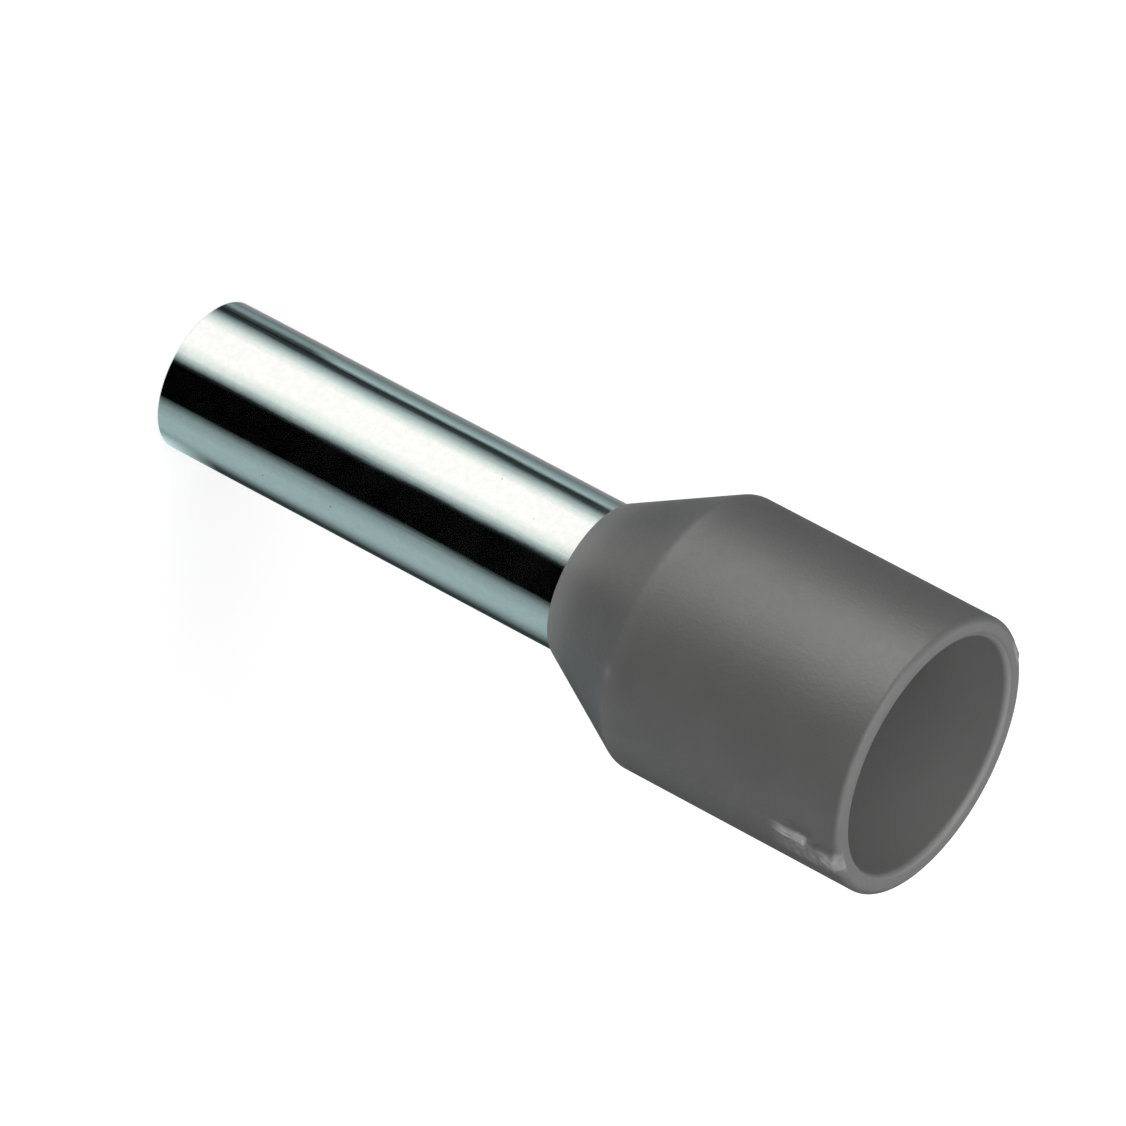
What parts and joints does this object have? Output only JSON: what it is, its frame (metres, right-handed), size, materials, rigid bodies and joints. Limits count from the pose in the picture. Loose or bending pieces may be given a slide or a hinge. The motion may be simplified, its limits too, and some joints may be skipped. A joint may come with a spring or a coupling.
{
  "type": "wire ferrule",
  "caption": "Insulated wire ferrule: a thin tinned copper sleeve with a grey plastic collar that takes the wire's insulation.",
  "frame": {"origin": "centre of the sleeve's cut end, on the surface that it stands on", "axes": "+Z along the axis, from the cut end of the sleeve to the mouth of the collar; +X and -X are the flanks with the stubs of the snapped webs"},
  "size_m": [0.005, 0.0048, 0.0145],
  "materials": {
    "tinned_copper": "gloss",
    "grey_plastic": "satin"
  },
  "bodies": {
    "root": {"sleeve": "tinned_copper", "collar": "grey_plastic"}
  },
  "joints": []
}
